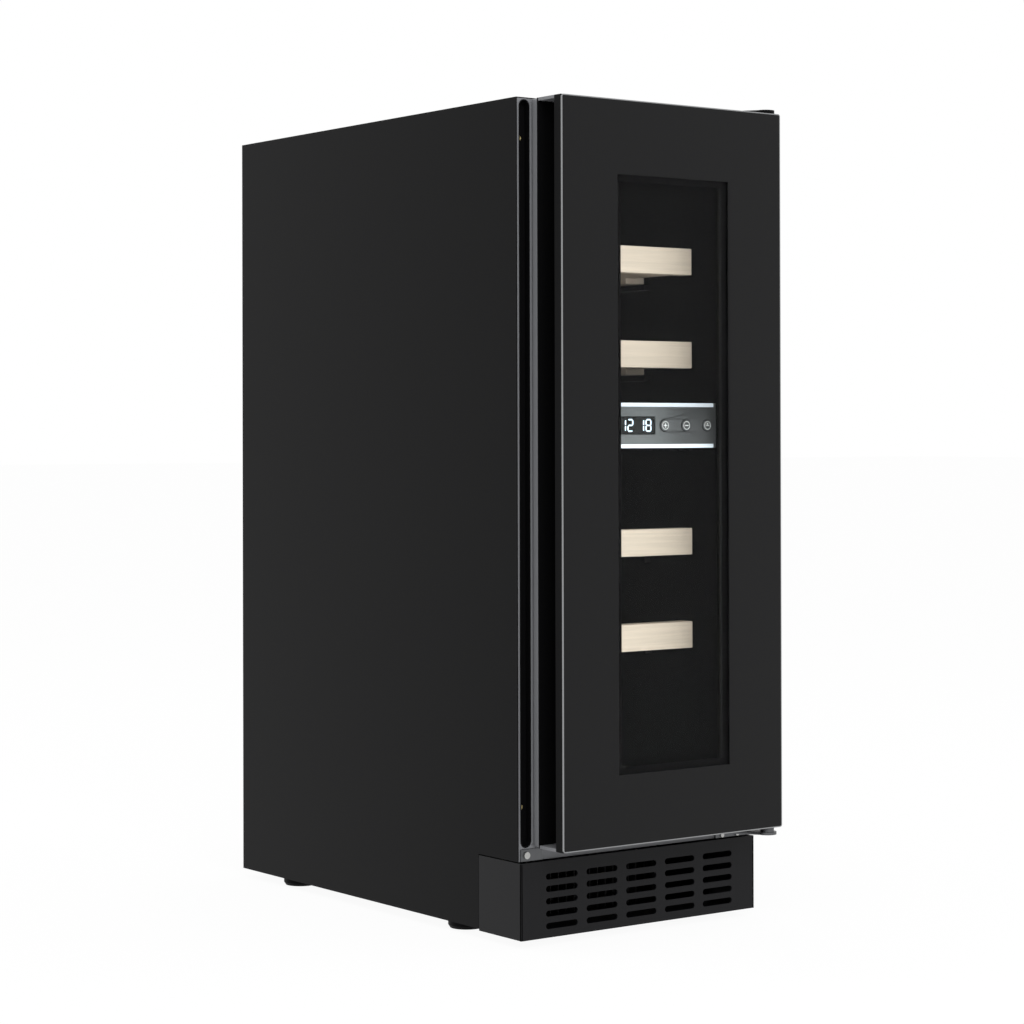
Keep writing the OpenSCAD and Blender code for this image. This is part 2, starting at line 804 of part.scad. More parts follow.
module screws() {
  fix_z = (door_bottom + cabinet_h) / 2;
  color("silver") {
    y_bar([-side_x + 9, front_y - 1.5 - screw_head, door_bottom - 7], screw_r, screw_head);
    for (x = hinge_screw_x)
      y_bar([x, front_y - 2 - screw_head, plinth_top + 3.7], 2.2, screw_head);
    for (x = hinge_screw_x)
      translate([x, front_y + 20, hinge_top_z + hinge_t - 1.2]) cylinder(r = screw_r - 0.2, h = 1.2);
    both_sides() for (z = [floor_gap + 8, comp_roof - 10, comp_roof + 14, cabinet_h - 14])
      y_bar([inner_x - 6, back_y, z], 3, rear_rise);
  }
}

// ---- Feet ----

module foot(x, y) {
  color([0.05, 0.05, 0.05]) {
    translate([x, y, 0]) cylinder(r1 = foot_r - 2, r2 = foot_r, h = 3);
    translate([x, y, 3]) cylinder(r = foot_r, h = foot_pad_h - 3);
    translate([x, y, foot_pad_h - cut]) cylinder(r = shank_r, h = foot_travel + boss_h + 8);
  }
}

module foot_front_left() { foot(-foot_x, foot_y[0]); }
module foot_front_right() { foot(foot_x, foot_y[0]); }
module foot_rear_left() { foot(-foot_x, foot_y[1]); }
module foot_rear_right() { foot(foot_x, foot_y[1]); }

// ---- Door ----

// Ring in the XZ plane around the window
module ring_2d(x0, x1, z0, z1, hole_x0, hole_x1, hole_z0, hole_z1) {
  difference() {
    translate([x0, z0]) square([x1 - x0, z1 - z0]);
    translate([hole_x0, hole_z0]) square([hole_x1 - hole_x0, hole_z1 - hole_z0]);
  }
}

module door_front_plate() {
  color([0.16, 0.16, 0.17])
    upright(door_y, plate_t)
      ring_2d(door_x0, door_x1, door_bottom, door_top,
              window_cx - window_w / 2 - pane_seam, window_cx + window_w / 2 + pane_seam,
              window_z - pane_seam, window_z + window_h + pane_seam);
}

module window_pane() {
  lap_x = window_w / 2 + pane_lap;
  color([0.1, 0.1, 0.12, 0.4]) {
    block([window_cx - window_w / 2, door_y, window_z],
          [window_cx + window_w / 2, core_y, window_z + window_h]);
    block([window_cx - lap_x, core_y, window_z - pane_lap],
          [window_cx + lap_x, core_y + plate_t, window_z + window_h + pane_lap]);
  }
}

module bush_holes() {
  translate([pivot_x, pivot_y, door_bottom - cut]) cylinder(r = pin_r + run_clear, h = bush_l + cut);
  translate([pivot_x, pivot_y, door_top - bush_l]) cylinder(r = pin_r + run_clear, h = bush_l + cut);
}

module door_core() {
  color([0.3, 0.3, 0.31]) difference() {
    upright(core_y, core_back - core_y)
      ring_2d(door_x0, door_x1, door_bottom, door_top, core_x0, core_x1, core_z0, core_z1);
    block([door_x0 - cut, groove_y0, door_bottom - cut], [door_x0 + grip_depth, groove_y1, door_top + cut]);
    block([core_x0 - pack_rebate, pack_y0 - eps, core_z0 - pack_rebate],
          [core_x1 + pack_rebate, core_back + cut, core_z1 + pack_rebate]);
    bush_holes();
  }
}

// Sealed glass pack behind the window
pack_y0 = door_y + 11;
pack_pane = 3;
pack_rebate = 5;
pack_grow = pack_rebate - eps;
spacer_w = 4;
pack_y1 = pack_y0 + 2 * pack_pane + pack_gap;

module inner_panes() {
  color([0.6, 0.7, 0.7, 0.4]) for (y = [pack_y0, pack_y1 - pack_pane])
    block([core_x0 - pack_grow, y, core_z0 - pack_grow],
          [core_x1 + pack_grow, y + pack_pane, core_z1 + pack_grow]);
}

module glass_spacer() {
  color("black")
    upright(pack_y0 + pack_pane, pack_gap)
      ring_2d(core_x0 - pack_grow, core_x1 + pack_grow, core_z0 - pack_grow, core_z1 + pack_grow,
              core_x0 - pack_grow + spacer_w, core_x1 + pack_grow - spacer_w,
              core_z0 - pack_grow + spacer_w, core_z1 + pack_grow - spacer_w);
}

module gasket_ring(grow) {
  x0 = door_x0 + gasket_in;
  x1 = door_x1 - gasket_in;
  z0 = door_bottom + gasket_in;
  z1 = door_top - gasket_in;
  difference() {
    translate([x0 - grow, z0 - grow]) square([x1 - x0 + 2 * grow, z1 - z0 + 2 * grow]);
    translate([x0 + gasket_w + grow, z0 + gasket_w + grow])
      square([x1 - x0 - 2 * gasket_w - 2 * grow, z1 - z0 - 2 * gasket_w - 2 * grow]);
  }
}

module door_rear_frame() {
  color("darkgray") difference() {
    upright(rear_front, rear_frame_t)
      ring_2d(door_x0, door_x1, door_bottom, door_top, core_x0, core_x1, core_z0, core_z1);
    upright(rear_y - gasket_bed, gasket_bed + cut) gasket_ring(0.2);
  }
}

module door_gasket() {
  color([0.12, 0.12, 0.12])
    upright(rear_y - gasket_bed, gasket_bed + door_gap - eps) gasket_ring(0);
}

module door_caps() {
  color("darkgray") for (z = [door_bottom, door_top - cap_t])
    block([door_x0, groove_y0 + 0.1, z], [door_x0 + grip_depth - 0.1, groove_y1 - 0.1, z + cap_t]);
}

side_panel_left();
side_panel_right();
top_panel();
back_panel();
base_tray();
insulation_foam();
liner_sides();
liner_top();
liner_back();
liner_floor();
face_frame();
channel_trims();
corner_plate();
zone_divider();
control_housing();
display_lens();
control_board();
led_bars();
evaporator_covers();
evaporators();
fan_motors();
air_sensors();
shelf_runners();
compressor();
compressor_grommets();
condenser();
condenser_fan_frame();
refrigerant_pipes();
drain_pan();
power_board_box();
mains_inlet();
rear_cover();
plinth_grille();
hinge_top();
hinge_bottom();
screws();
foot_front_left();
foot_front_right();
foot_rear_left();
foot_rear_right();
power_button();
lamp_button();
warmer_button();
cooler_button();
zone_button();
upper_fan_blades();
lower_fan_blades();
condenser_fan_blades();
shelf_1();
shelf_2();
shelf_3();
shelf_4();
door_front_plate();
window_pane();
door_core();
door_rear_frame();
inner_panes();
glass_spacer();
door_gasket();
door_caps();
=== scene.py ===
"""A slim two-zone wine cooler with a glass door, dressed round its construction model."""

import logging
import math
from dataclasses import dataclass, replace
from enum import Enum
from functools import cache

import bmesh
import bpy
import numpy as np
from mathutils import Matrix, Vector


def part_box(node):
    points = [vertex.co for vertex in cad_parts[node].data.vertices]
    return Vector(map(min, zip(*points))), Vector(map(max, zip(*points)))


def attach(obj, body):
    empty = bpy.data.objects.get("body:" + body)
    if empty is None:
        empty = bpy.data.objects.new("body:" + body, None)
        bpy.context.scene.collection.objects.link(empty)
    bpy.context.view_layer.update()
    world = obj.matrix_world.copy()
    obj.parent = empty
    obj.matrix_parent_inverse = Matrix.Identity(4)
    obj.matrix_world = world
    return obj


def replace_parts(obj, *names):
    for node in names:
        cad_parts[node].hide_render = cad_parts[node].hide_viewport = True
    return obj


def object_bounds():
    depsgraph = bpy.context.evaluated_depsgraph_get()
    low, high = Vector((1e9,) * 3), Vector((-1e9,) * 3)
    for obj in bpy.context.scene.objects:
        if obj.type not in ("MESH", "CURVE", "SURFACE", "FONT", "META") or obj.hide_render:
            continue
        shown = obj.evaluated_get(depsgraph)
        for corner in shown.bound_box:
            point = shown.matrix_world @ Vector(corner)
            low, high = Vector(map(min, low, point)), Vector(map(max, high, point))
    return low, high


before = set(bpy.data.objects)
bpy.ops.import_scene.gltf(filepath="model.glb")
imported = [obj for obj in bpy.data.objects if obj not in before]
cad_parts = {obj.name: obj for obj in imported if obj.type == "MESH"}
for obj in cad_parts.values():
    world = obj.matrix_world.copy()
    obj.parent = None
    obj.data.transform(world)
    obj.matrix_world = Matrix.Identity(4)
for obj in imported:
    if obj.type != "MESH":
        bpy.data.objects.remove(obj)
CAD_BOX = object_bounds()

LOG = logging.getLogger("wine_cooler")
CORNER_STEPS = 5
EDGE_STEPS = 3
SMALLEST_RADIUS = 0.00005
SHARP_ANGLE = math.radians(35)
BEVEL_ANGLE = math.radians(40)
WELD_DISTANCE = 1e-6
BUMP_DISTANCE = 0.0002


def srgb(red: float, green: float, blue: float) -> tuple[float, float, float]:
    """Turns a colour as seen, 0 to 255, into the linear values a shader takes.

    Args:
        red: Red, 0 to 255.
        green: Green, 0 to 255.
        blue: Blue, 0 to 255.

    Returns:
        The three linear values, 0 to 1.
    """
    seen = np.array([red, green, blue]) / 255
    linear = np.where(seen <= 0.04045, seen / 12.92, ((seen + 0.055) / 1.055) ** 2.4)
    return float(linear[0]), float(linear[1]), float(linear[2])


class Plane(Enum):
    """Which way a flat outline faces: its two axes, then the axis it is thick along."""

    FRONT = (0, 2, 1)
    SIDE = (1, 2, 0)
    TOP = (0, 1, 2)

    def place(self, flat: np.ndarray, depth: float) -> np.ndarray:
        """Sets a flat outline into space.

        Args:
            flat: Outline points, one row each.
            depth: Where the outline lies on the plane's third axis.

        Returns:
            The points in space.
        """
        first, second, third = self.value
        points = np.empty((len(flat), 3))
        points[:, first] = flat[:, 0]
        points[:, second] = flat[:, 1]
        points[:, third] = depth
        return points


@dataclass(frozen=True)
class Outline:
    """A rounded rectangle, in metres; a circle or a slot is one with its radius at half its width."""

    left: float
    right: float
    low: float
    high: float
    radius: float = 0.0005

    def inset(self, amount: float) -> "Outline":
        """The same outline drawn in by an amount, or let out by a negative one."""
        return Outline(
            self.left + amount,
            self.right - amount,
            self.low + amount,
            self.high - amount,
            max(self.radius - amount, SMALLEST_RADIUS),
        )

    def points(self) -> np.ndarray:
        """Walks the outline: each corner is a quarter circle about its own centre.

        Returns:
            The outline's points, counter-clockwise, one row each.
        """
        quarter = np.linspace(0, math.pi / 2, CORNER_STEPS)
        angle = np.arange(4)[:, None] * math.pi / 2 + quarter[None, :]
        across = np.array([self.right, self.left, self.left, self.right])
        up = np.array([self.high, self.high, self.low, self.low])
        inward_x = np.array([-1, 1, 1, -1]) * self.radius
        inward_y = np.array([-1, -1, 1, 1]) * self.radius
        return np.stack(
            [
                (across + inward_x)[:, None] + self.radius * np.cos(angle),
                (up + inward_y)[:, None] + self.radius * np.sin(angle),
            ],
            -1,
        ).reshape(-1, 2)


def circle(across: float, up: float, radius: float) -> Outline:
    """A round outline about a centre."""
    return Outline(across - radius, across + radius, up - radius, up + radius, radius)


def outline_of(node: str, plane: Plane, radius: float) -> Outline:
    """The outline of a node's box, seen along a plane's third axis, with rounded corners."""
    low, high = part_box(node)
    first, second, _ = plane.value
    return Outline(low[first], high[first], low[second], high[second], radius)


def edge_section(near: float, far: float, edge: float) -> list[tuple[float, float]]:
    """Walks the side of a slab from its lower face to its upper one, with both edges rounded.

    An edge is a quarter circle: at angle t the outline is drawn in by edge (1 - sin t) and
    lies edge (1 - cos t) inside the face.

    Args:
        near: The lower face.
        far: The upper face.
        edge: Radius of both edges.

    Returns:
        How far the outline is drawn in and how deep it lies, for each loop.
    """
    turn = np.linspace(0, math.pi / 2, EDGE_STEPS)
    inset = edge * (1 - np.sin(turn))
    drop = edge * (1 - np.cos(turn))
    insets = np.concatenate([inset, inset[::-1]])
    depths = np.concatenate([near + drop, (far - drop)[::-1]])
    return list(zip(insets, depths))


class Shell:
    """Closed surfaces gathered into one piece."""

    def __init__(self) -> None:
        """Starts with no surface."""
        self.points: list[np.ndarray] = []
        self.faces: list[list[int]] = []
        self.count = 0

    def add_grid(self, grid: np.ndarray, ring: bool = False) -> "Shell":
        """Adds a surface over a grid whose rows are closed loops.

        Each face joins point (i, j) to its neighbours at i + 1 and j + 1, with j counted
        round the loop. A ring joins the last loop to the first; otherwise both ends are capped.

        Args:
            grid: Points, as rows by columns by three.
            ring: Whether the last loop meets the first.

        Returns:
            This shell.
        """
        rows, columns = grid.shape[:2]
        steps = rows if ring else rows - 1
        row, column = np.meshgrid(np.arange(steps), np.arange(columns), indexing="ij")
        below, beside = (row + 1) % rows, (column + 1) % columns
        quads = np.stack(
            [
                row * columns + column,
                row * columns + beside,
                below * columns + beside,
                below * columns + column,
            ],
            -1,
        ).reshape(-1, 4)
        self.faces += (quads + self.count).tolist()
        if not ring:
            first = np.arange(columns) + self.count
            self.faces += [first[::-1].tolist(), (first + (rows - 1) * columns).tolist()]
        self.points.append(grid.reshape(-1, 3))
        self.count += rows * columns
        return self

    def add_slab(
        self, plane: Plane, outline: Outline, near: float, far: float, edge: float = 0.0003
    ) -> "Shell":
        """Adds a slab with rounded edges: its outline, carried along an edge section.

        Args:
            plane: Which way the slab faces.
            outline: Its outline.
            near: Its lower face.
            far: Its upper face.
            edge: Radius of its edges.

        Returns:
            This shell.
        """
        section = edge_section(near, far, edge)
        loops = [plane.place(outline.inset(i).points(), d) for i, d in section]
        return self.add_grid(np.stack(loops))

    def add_frame(
        self,
        plane: Plane,
        outer: Outline,
        inner: Outline,
        near: float,
        far: float,
        edge: float = 0.0003,
    ) -> "Shell":
        """Adds a flat frame: the section of a slab's edge, run round the outside and back inside.

        Args:
            plane: Which way the frame faces.
            outer: Its outside.
            inner: Its opening.
            near: Its lower face.
            far: Its upper face.
            edge: Radius of its edges.

        Returns:
            This shell.
        """
        section = edge_section(near, far, edge)
        loops = [plane.place(outer.inset(i).points(), d) for i, d in section]
        loops += [plane.place(inner.inset(-i).points(), d) for i, d in section[::-1]]
        return self.add_grid(np.stack(loops), ring=True)

    def add_turned(self, plane: Plane, across: float, up: float, profile: np.ndarray) -> "Shell":
        """Adds a turned shape: each profile row (radius, depth) becomes a circle about the axis.

        Args:
            plane: The plane square to the axis.
            across: The axis's place on the plane's first axis.
            up: The axis's place on its second axis.
            profile: Radius and depth, one row for each circle.

        Returns:
            This shell.
        """
        loops = [plane.place(circle(across, up, r).points(), d) for r, d in profile.tolist()]
        return self.add_grid(np.stack(loops))

    def build(self, name: str, body: str, finish: bpy.types.Material, slot: str) -> bpy.types.Object:
        """Makes the object, with its faces outward, and hangs it on its body.

        Args:
            name: The piece's name.
            body: The body it rides on.
            finish: Its material.
            slot: Not used.

        Returns:
            The new object.
        """
        mesh = bpy.data.meshes.new(name)
        mesh.from_pydata(np.concatenate(self.points).tolist(), [], self.faces)
        work = bmesh.new()
        work.from_mesh(mesh)
        bmesh.ops.recalc_face_normals(work, faces=work.faces)
        work.to_mesh(mesh)
        work.free()
        mesh.shade_smooth()
        mesh.set_sharp_from_angle(angle=SHARP_ANGLE)
        mesh.materials.append(finish)
        piece = bpy.data.objects.new(name, mesh)
        even = piece.modifiers.new("even_normals", "WEIGHTED_NORMAL")
        even.keep_sharp = True
        bpy.context.scene.collection.objects.link(piece)
        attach(piece, body)
        LOG.info("%s: %d faces on %s", name, len(mesh.polygons), body)
        return piece


class Grain(Enum):
    """How a finish varies over a surface: how many repeats in a metre along X, Y and Z."""

    SPECKLE = (1400.0, 1400.0, 1400.0)
    SOFT = (25.0, 25.0, 25.0)
    WOOD = (14.0, 520.0, 520.0)
    BRUSHED = (2500.0, 2500.0, 12.0)
    SPANGLE = (70.0, 70.0, 70.0)


def grain_group() -> bpy.types.ShaderNodeTree:
    """Builds the shared grain: noise blends two colours, and moves the roughness and the height.

    Returns:
        The node group.
    """
    group = bpy.data.node_groups.new("surface_grain", "ShaderNodeTree")
    sockets = group.interface
    sockets.new_socket("Vector", in_out="INPUT", socket_type="NodeSocketVector")
    for name in ("Base", "Second"):
        sockets.new_socket(name, in_out="INPUT", socket_type="NodeSocketColor")
    for name in ("Roughness", "Spread"):
        sockets.new_socket(name, in_out="INPUT", socket_type="NodeSocketFloat")
    sockets.new_socket("Colour", in_out="OUTPUT", socket_type="NodeSocketColor")
    for name in ("Roughness", "Height"):
        sockets.new_socket(name, in_out="OUTPUT", socket_type="NodeSocketFloat")
    nodes, links = group.nodes, group.links
    given, made = nodes.new("NodeGroupInput"), nodes.new("NodeGroupOutput")
    noise = nodes.new("ShaderNodeTexNoise")
    noise.inputs["Scale"].default_value = 1.0
    noise.inputs["Detail"].default_value = 4.0
    links.new(given.outputs["Vector"], noise.inputs["Vector"])
    mix = nodes.new("ShaderNodeMix")
    mix.data_type = "RGBA"
    links.new(noise.outputs["Fac"], mix.inputs[0])
    links.new(given.outputs["Base"], mix.inputs[6])
    links.new(given.outputs["Second"], mix.inputs[7])
    links.new(mix.outputs[2], made.inputs["Colour"])
    swing = nodes.new("ShaderNodeMath")
    swing.operation = "MULTIPLY_ADD"
    links.new(noise.outputs["Fac"], swing.inputs[0])
    links.new(given.outputs["Spread"], swing.inputs[1])
    links.new(given.outputs["Roughness"], swing.inputs[2])
    links.new(swing.outputs[0], made.inputs["Roughness"])
    links.new(noise.outputs["Fac"], made.inputs["Height"])
    return group


GRAIN_GROUP = grain_group()


@dataclass(frozen=True)
class Finish:
    """A finish as it is bought: colour, gloss and grain."""

    name: str
    colour: tuple[float, float, float]
    roughness: float
    metallic: float = 0.0
    specular: float = 0.5
    coat: float = 0.0
    grain: Grain = Grain.SPECKLE
    spread: float = 0.06
    tone: float = 0.8
    bump: float = 0.04
    transmission: float = 0.0
    alpha: float = 1.0
    glow: float = 0.0
    ior: float = 1.5

    @cache
    def material(self) -> bpy.types.Material:
        """Builds the material, with its grain on the object's own coordinates.

        Returns:
            The material, made once for each finish.
        """
        made = bpy.data.materials.new(f"finish_{self.name}")
        made.use_nodes = True
        nodes, links = made.node_tree.nodes, made.node_tree.links
        shader = nodes["Principled BSDF"]
        for socket, value in (
            ("Metallic", self.metallic),
            ("Specular IOR Level", self.specular),
            ("Coat Weight", self.coat),
            ("Transmission Weight", self.transmission),
            ("Alpha", self.alpha),
            ("Emission Strength", self.glow),
            ("IOR", self.ior),
        ):
            shader.inputs[socket].default_value = value
        if self.glow:
            shader.inputs["Emission Color"].default_value = (*self.colour, 1)
        place = nodes.new("ShaderNodeTexCoord")
        mapping = nodes.new("ShaderNodeMapping")
        mapping.inputs["Scale"].default_value = self.grain.value
        grain = nodes.new("ShaderNodeGroup")
        grain.node_tree = GRAIN_GROUP
        grain.inputs["Base"].default_value = (*self.colour, 1)
        grain.inputs["Second"].default_value = (*(c * self.tone for c in self.colour), 1)
        grain.inputs["Roughness"].default_value = self.roughness
        grain.inputs["Spread"].default_value = self.spread
        links.new(place.outputs["Object"], mapping.inputs["Vector"])
        links.new(mapping.outputs["Vector"], grain.inputs["Vector"])
        links.new(grain.outputs["Colour"], shader.inputs["Base Color"])
        links.new(grain.outputs["Roughness"], shader.inputs["Roughness"])
        if self.bump:
            bump = nodes.new("ShaderNodeBump")
            bump.inputs["Strength"].default_value = self.bump
            bump.inputs["Distance"].default_value = BUMP_DISTANCE
            links.new(grain.outputs["Height"], bump.inputs["Height"])
            links.new(bump.outputs["Normal"], shader.inputs["Normal"])
        return made


POWDER = Finish("cabinet_paint", srgb(9, 9, 10), 0.34, bump=0.03, ior=1.16)
TRAY = replace(POWDER, name="tray_paint")
DOOR_PLATE = Finish("door_plate", srgb(12, 12, 13), 0.2, bump=0.01, tone=0.95, ior=1.28)
ZINC = Finish("zinc_sheet", srgb(176, 178, 180), 0.35, metallic=1.0, grain=Grain.SPANGLE)
DARK_ZINC = Finish("hinge_zinc", srgb(104, 105, 107), 0.38, metallic=1.0, grain=Grain.BRUSHED)
STEEL = Finish("bare_steel", srgb(186, 186, 184), 0.3, metallic=1.0, grain=Grain.BRUSHED)
EDGE_STEEL = Finish("polished_edge", srgb(158, 159, 160), 0.28, metallic=1.0, bump=0.0)
FRAME_GREY = Finish("frame_grey", srgb(118, 119, 122), 0.42, specular=0.4)
DOOR_DARK = Finish("door_dark", srgb(12, 12, 13), 0.4, ior=1.15)
LINER = Finish("liner_black", srgb(8, 8, 9), 0.35, ior=1.12, grain=Grain.SOFT)
BLACK = Finish("black_plastic", srgb(12, 12, 13), 0.45, ior=1.15)
PLINTH = Finish("plinth_plastic", srgb(20, 20, 22), 0.4, ior=1.25)
FASCIA = Finish("fascia_silver", srgb(150, 151, 153), 0.36, metallic=0.6, grain=Grain.SOFT)
BUTTON = Finish("button_silver", srgb(116, 117, 119), 0.34, metallic=0.5, grain=Grain.SOFT)
DISPLAY = Finish("display_black", srgb(8, 8, 10), 0.12, bump=0.0)
DIGITS = Finish("display_light", srgb(225, 240, 255), 0.4, glow=1.6, bump=0.0)
LED = Finish("lamp_white", srgb(236, 242, 250), 0.4, glow=0.5, bump=0.0, tone=0.95)
# White button marks with a faint painted glow, though nothing lights them.
GLOWING_MARKING = Finish("white_marking_painted_glow", srgb(242, 242, 242), 0.5, bump=0.0, tone=0.95, glow=0.35)
BEECH = Finish("beech", srgb(238, 219, 200), 0.46, grain=Grain.WOOD, tone=0.7, bump=0.12, ior=1.35)
RUBBER = Finish("rubber_grey", srgb(58, 58, 60), 0.7, specular=0.25)
RUBBER_BLACK = Finish("rubber_black", srgb(24, 24, 24), 0.75, specular=0.2)
BOARD = Finish("board_green", srgb(32, 84, 52), 0.45, grain=Grain.SOFT)
WHITE = Finish("white_plastic", srgb(228, 228, 226), 0.4, tone=0.94)
COIL = Finish("coil_aluminium", srgb(200, 202, 205), 0.32, metallic=1.0, grain=Grain.BRUSHED)
ENAMEL = Finish("compressor_black", srgb(18, 18, 19), 0.3, specular=0.5, grain=Grain.SOFT)
CONDENSER = Finish("condenser_black", srgb(26, 26, 27), 0.45)
COPPER = Finish("copper", srgb(202, 132, 96), 0.28, metallic=1.0, grain=Grain.SOFT)
FOAM = Finish("foam", srgb(226, 208, 150), 0.9, specular=0.1, bump=0.3, grain=Grain.SPECKLE)
GLASS = Finish(
    "clear_glass",
    (0.96, 0.98, 0.97),
    0.0,
    grain=Grain.SOFT,
    transmission=1.0,
    spread=0.012,
    tone=0.985,
    bump=0.0,
    ior=1.06,
)
FRONT_GLASS = replace(GLASS, name="tinted_glass", colour=(0.95, 0.96, 0.97), ior=1.12)
# A see-through dark band: painted shade for the darker strip seen through the window's side.
SHADE_BAND = Finish("painted_shade_band", srgb(10, 10, 11), 0.3, alpha=0.5, bump=0.0, ior=1.06)
PRINT = Finish("border_print", srgb(5, 5, 6), 0.3, bump=0.0, ior=1.1)


@dataclass(frozen=True)
class Dressing:
    """The finish of the construction nodes that are shown, and how round their edges are."""

    finish: Finish
    nodes: tuple[str, ...]
    edge: float = 0.0

    def apply(self) -> None:
        """Gives each node its finish; a node with an edge radius is welded, then bevelled."""
        for name in self.nodes:
            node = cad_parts[name]
            node.data.materials.clear()
            node.data.materials.append(self.finish.material())
            if self.edge:
                weld = node.modifiers.new("weld", "WELD")
                weld.merge_threshold = WELD_DISTANCE
                bevel = node.modifiers.new("edges", "BEVEL")
                bevel.width = self.edge
                bevel.segments = 2
                bevel.limit_method = "ANGLE"
                bevel.angle_limit = BEVEL_ANGLE
            LOG.info("%s: %s", name, self.finish.name)


DRESSINGS = (
    Dressing(POWDER, ("side_panel_left", "side_panel_right"), 0.0003),
    Dressing(ZINC, ("rear_cover",)),
    Dressing(TRAY, ("base_tray",)),
    Dressing(DOOR_DARK, ("hinge_top",), 0.0003),
    Dressing(DARK_ZINC, ("corner_plate", "hinge_bottom"), 0.0003),
    Dressing(STEEL, ("screws",)),
    Dressing(FOAM, ("insulation_foam",)),
    Dressing(LINER, ("liner_sides", "liner_top", "liner_back", "liner_floor")),
    Dressing(LINER, ("zone_divider",), 0.0008),
    Dressing(LINER, ("evaporator_covers", "shelf_runners")),
    Dressing(FRAME_GREY, ("face_frame", "door_caps"), 0.0003),
    Dressing(BLACK, ("channel_trims", "fan_motors", "condenser_fan_frame", "drain_pan")),
    Dressing(BLACK, ("power_board_box", "mains_inlet", "glass_spacer")),
    Dressing(BLACK, ("upper_fan_blades", "lower_fan_blades", "condenser_fan_blades")),
    Dressing(BLACK, tuple(f"foot_{e}_{s}" for e in ("front", "rear") for s in ("left", "right"))),
    Dressing(FASCIA, ("control_housing",), 0.0006),
    Dressing(DISPLAY, ("display_lens",), 0.0003),
    Dressing(BOARD, ("control_board",)),
    Dressing(LED, ("led_bars",)),
    Dressing(COIL, ("evaporators",)),
    Dressing(WHITE, ("air_sensors",)),
    Dressing(ENAMEL, ("compressor",)),
    Dressing(RUBBER_BLACK, ("compressor_grommets",)),
    Dressing(CONDENSER, ("condenser",)),
    Dressing(COPPER, ("refrigerant_pipes",)),
    Dressing(DOOR_DARK, ("door_core",), 0.0004),
    Dressing(BEECH, ("shelf_1", "shelf_2", "shelf_3", "shelf_4"), 0.0009),
)


@dataclass
class Cabinet:
    """The top sheet, and the back sheet with its pressed ribs."""

    corner: float = 0.0015
    edge: float = 0.0004
    rib_height: float = 0.0006
    rib_count: int = 4
    rib_half_width: float = 0.006
    rib_margin: float = 0.04
    rib_root: float = 0.0002

    def top(self) -> None:
        """Builds the top as a thin sheet with folded edges."""
        low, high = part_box("top_panel")
        shell = Shell().add_slab(
            Plane.TOP, outline_of("top_panel", Plane.TOP, self.corner), low.z, high.z, self.edge
        )
        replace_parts(shell.build("top_sheet", "cabinet", POWDER.material(), "cabinet_paint"), "top_panel")

    def back(self) -> None:
        """Builds the back sheet with upright stiffening ribs pressed into it."""
        low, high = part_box("back_panel")
        shell = Shell().add_slab(
            Plane.FRONT, outline_of("back_panel", Plane.FRONT, self.corner), low.y, high.y, self.edge
        )
        pitch = (high.x - low.x) / (self.rib_count + 1)
        for place in low.x + pitch * np.arange(1, self.rib_count + 1):
            rib = Outline(
                place - self.rib_half_width,
                place + self.rib_half_width,
                low.z + self.rib_margin,
                high.z - self.rib_margin,
                self.rib_half_width,
            )
            shell.add_slab(
                Plane.FRONT, rib, high.y - self.rib_root, high.y + self.rib_height, self.rib_height
            )
        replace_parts(shell.build("back_sheet", "cabinet", ZINC.material(), "zinc_sheet"), "back_panel")


@dataclass
class Plinth:
    """The slotted kick panel, with a wing down each side."""

    columns: int = 5
    rows: int = 5
    slot_length: float = 0.0385
    slot_height: float = 0.006
    pitch_across: float = 0.0493
    pitch_up: float = 0.0119
    middle_up: float = 0.043
    wall: float = 0.002
    seam: float = 0.00002

    def build(self) -> None:
        """Builds the front from one framed cell for each slot and plain margins, then the wings and a
        bottom lip; the lip is a real return and also painted shade over the floor seen through the slots.
        """
        low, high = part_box("plinth_grille")
        near, far = low.y, low.y + self.wall
        half_x, half_z = self.pitch_across / 2, self.pitch_up / 2
        first_x = -(self.columns - 1) * half_x
        first_z = self.middle_up - (self.rows - 1) * half_z
        shell = Shell()
        for x in first_x + self.pitch_across * np.arange(self.columns):
            for z in first_z + self.pitch_up * np.arange(self.rows):
                cell = Outline(x - half_x, x + half_x, z - half_z, z + half_z, self.seam)
                slot = Outline(
                    x - self.slot_length / 2,
                    x + self.slot_length / 2,
                    z - self.slot_height / 2,
                    z + self.slot_height / 2,
                    self.slot_height / 2,
                )
                shell.add_frame(Plane.FRONT, cell, slot, near, far, self.seam)
        left, right = first_x - half_x, -first_x + half_x
        base, top = first_z - half_z, 2 * self.middle_up - first_z + half_z
        for margin in (
            Outline(low.x, left, low.z, high.z, self.seam),
            Outline(right, high.x, low.z, high.z, self.seam),
            Outline(left, right, low.z, base, self.seam),
            Outline(left, right, top, high.z, self.seam),
        ):
            shell.add_slab(Plane.FRONT, margin, near, far, self.seam)
        wing = Outline(near, high.y, low.z, high.z, 0.0008)
        shell.add_slab(Plane.SIDE, wing, low.x, low.x + self.wall, 0.0004)
        shell.add_slab(Plane.SIDE, wing, high.x - self.wall, high.x, 0.0004)
        # A bottom return lip: real on such plinths, and also painted shade, hiding the floor seen through
        # the slots, which is in shadow.
        lip = Outline(low.x + self.wall, high.x - self.wall, far, high.y, self.wall)
        shell.add_slab(Plane.TOP, lip, low.z, low.z + 0.001, 0.0003)
        piece = shell.build("plinth", "cabinet", PLINTH.material(), "plinth_plastic")
        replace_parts(piece, "plinth_grille")


